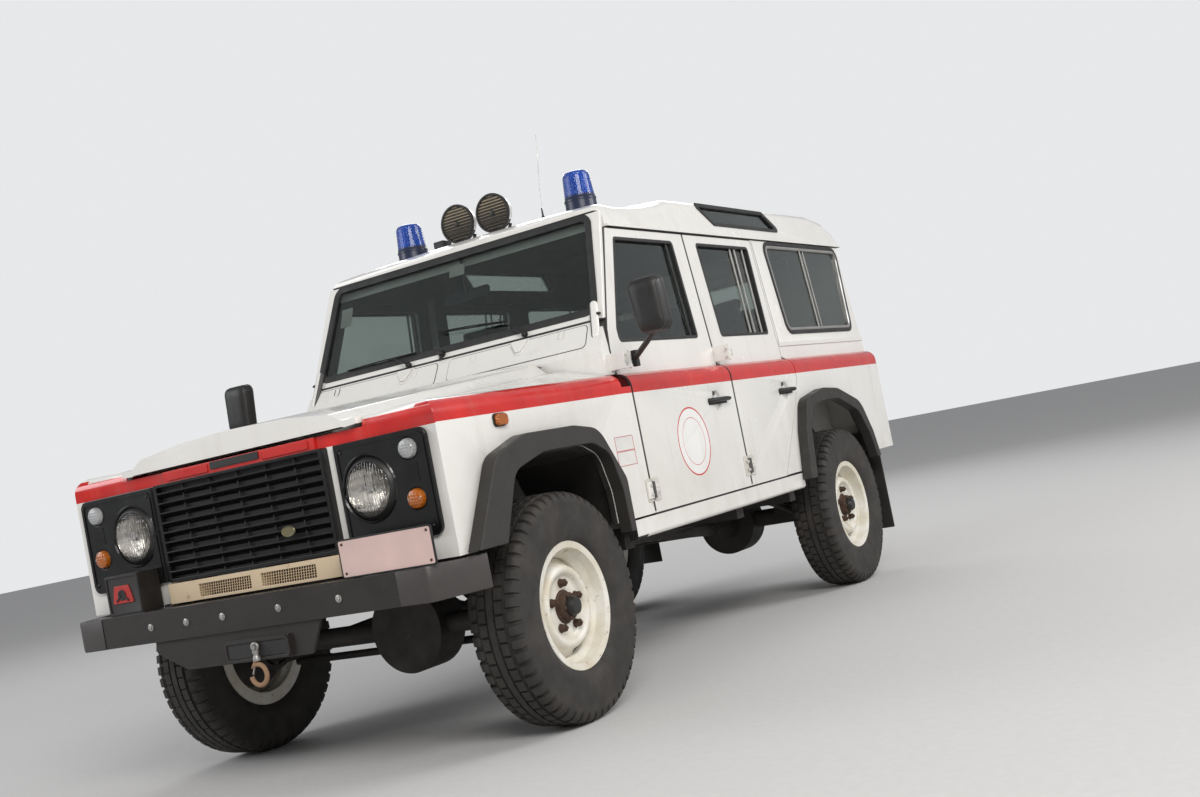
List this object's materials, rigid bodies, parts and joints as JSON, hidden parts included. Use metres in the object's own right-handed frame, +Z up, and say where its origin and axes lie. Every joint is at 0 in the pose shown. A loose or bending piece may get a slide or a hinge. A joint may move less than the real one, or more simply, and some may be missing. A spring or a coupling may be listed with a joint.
{
  "type": "ambulance four-wheel-drive station wagon",
  "caption": "Boxy long-wheelbase four-wheel-drive ambulance wagon on a ladder frame, with steered front wheels, hinged doors, bonnet and tail door.",
  "frame": {"origin": "on the ground under the middle of the vehicle", "axes": "+X to the vehicle's left, nose towards -Y, +Z up"},
  "size_m": [2.2652, 4.587, 2.3763],
  "materials": {
    "axle_iron": "oily cast iron",
    "beacon_blue": "blue lens",
    "black_plastic": "matte black plastic",
    "black_rubber": "rubber",
    "bumper_steel": "weathered dark steel",
    "chassis_black": "worn black chassis paint",
    "engine_iron": "engine casting",
    "exhaust_steel": "dull steel",
    "glass": "clear glass",
    "grille_paint": "dark grille",
    "lamp_glass": "clear lamp glass",
    "rust_steel": "rusty steel",
    "seat_fabric": "dark cloth",
    "tyre": "worn rubber",
    "wheel_paint": "white wheel paint with rust",
    "white_paint": "semi-gloss white paint, slightly dusty"
  },
  "bodies": {
    "body": {"aerial": "black_rubber", "arch_flares": "black_plastic", "beacons": "beacon_blue", "bulkhead": "white_paint", "cab_floor": "white_paint", "chassis_frame": "chassis_black", "dashboard": "black_plastic", "exhaust": "exhaust_steel", "fixed_glass": "glass", "front_axle": "axle_iron", "front_bumper": "bumper_steel", "front_panel": "white_paint", "fuel_tank": "chassis_black", "grille": "grille_paint", "headlamps": "lamp_glass", "lamp_surrounds": "black_plastic", "powertrain": "engine_iron", "rear_axle": "axle_iron", "rear_tub": "white_paint", "roof": "white_paint", "roof_lamps": "white_paint", "seats": "seat_fabric", "side_panels": "white_paint", "signal_lamps": "lamp_glass", "steering_wheel": "black_plastic", "suspension": "chassis_black", "tow_hook": "rust_steel", "windscreen_frame": "white_paint", "wing_left": "white_paint", "wing_right": "white_paint"},
    "knuckle_left": {"knuckle_left": "axle_iron"},
    "knuckle_right": {"knuckle_right": "axle_iron"},
    "track_rod": {"track_rod": "axle_iron"},
    "wheel_front_left": {"wheel_front_left": "wheel_paint", "tyre_front_left": "tyre"},
    "wheel_front_right": {"wheel_front_right": "wheel_paint", "tyre_front_right": "tyre"},
    "wheel_rear_left": {"wheel_rear_left": "wheel_paint", "tyre_rear_left": "tyre"},
    "wheel_rear_right": {"wheel_rear_right": "wheel_paint", "tyre_rear_right": "tyre"},
    "front_door_left": {"front_door_left": "white_paint", "front_glass_left": "glass", "mirror_left": "black_plastic"},
    "front_door_right": {"front_door_right": "white_paint", "front_glass_right": "glass", "mirror_right": "black_plastic"},
    "rear_door_left": {"rear_door_left": "white_paint", "rear_glass_left": "glass"},
    "rear_door_right": {"rear_door_right": "white_paint", "rear_glass_right": "glass"},
    "tail_door": {"tail_door": "white_paint", "tail_glass": "glass", "spare_wheel": "wheel_paint", "spare_tyre": "tyre"},
    "bonnet": {"bonnet": "white_paint"}
  },
  "joints": [
    {"name": "steer_left", "type": "hinge", "parent": "body", "child": "knuckle_left", "pos_m": [0.612, -1.541, 0.4], "axis": [0, 0, 1], "range_deg": [-30, 30]},
    {"name": "steer_right", "type": "hinge", "parent": "body", "child": "knuckle_right", "pos_m": [-0.612, -1.541, 0.4], "axis": [0, 0, 1], "range_deg": [-30, 30]},
    {"name": "track_rod_slide", "type": "slide", "parent": "body", "child": "track_rod", "axis": [1, 0, 0], "range_m": [-0.0786, 0.0786]},
    {"name": "spin_front_left", "type": "hinge", "parent": "knuckle_left", "child": "wheel_front_left", "pos_m": [0.743, -1.541, 0.4], "axis": [1, 0, 0], "continuous": true},
    {"name": "spin_front_right", "type": "hinge", "parent": "knuckle_right", "child": "wheel_front_right", "pos_m": [-0.743, -1.541, 0.4], "axis": [1, 0, 0], "continuous": true},
    {"name": "spin_rear_left", "type": "hinge", "parent": "body", "child": "wheel_rear_left", "pos_m": [0.743, 1.253, 0.4], "axis": [1, 0, 0], "continuous": true},
    {"name": "spin_rear_right", "type": "hinge", "parent": "body", "child": "wheel_rear_right", "pos_m": [-0.743, 1.253, 0.4], "axis": [1, 0, 0], "continuous": true},
    {"name": "front_door_left_hinge", "type": "hinge", "parent": "body", "child": "front_door_left", "pos_m": [0.848, -0.861, 0.979], "axis": [0, 0, -1], "range_deg": [0, 70]},
    {"name": "front_door_right_hinge", "type": "hinge", "parent": "body", "child": "front_door_right", "pos_m": [-0.848, -0.861, 0.979], "axis": [0, 0, 1], "range_deg": [0, 70]},
    {"name": "rear_door_left_hinge", "type": "hinge", "parent": "body", "child": "rear_door_left", "pos_m": [0.848, 0.064, 0.979], "axis": [0, 0, -1], "range_deg": [0, 70]},
    {"name": "rear_door_right_hinge", "type": "hinge", "parent": "body", "child": "rear_door_right", "pos_m": [-0.848, 0.064, 0.979], "axis": [0, 0, 1], "range_deg": [0, 70]},
    {"name": "tail_door_hinge", "type": "hinge", "parent": "body", "child": "tail_door", "pos_m": [-0.444, 2.044, 1.33], "axis": [0, 0, 1], "range_deg": [0, 90]},
    {"name": "bonnet_hinge", "type": "hinge", "parent": "body", "child": "bonnet", "pos_m": [0, -0.953, 1.286], "axis": [-1, 0, 0], "range_deg": [0, 55]}
  ],
  "couplings": [
    {"joint": "steer_right", "follows": "steer_left", "ratio": 1},
    {"joint": "track_rod_slide", "follows": "steer_left", "m_per_rad": -0.15}
  ]
}
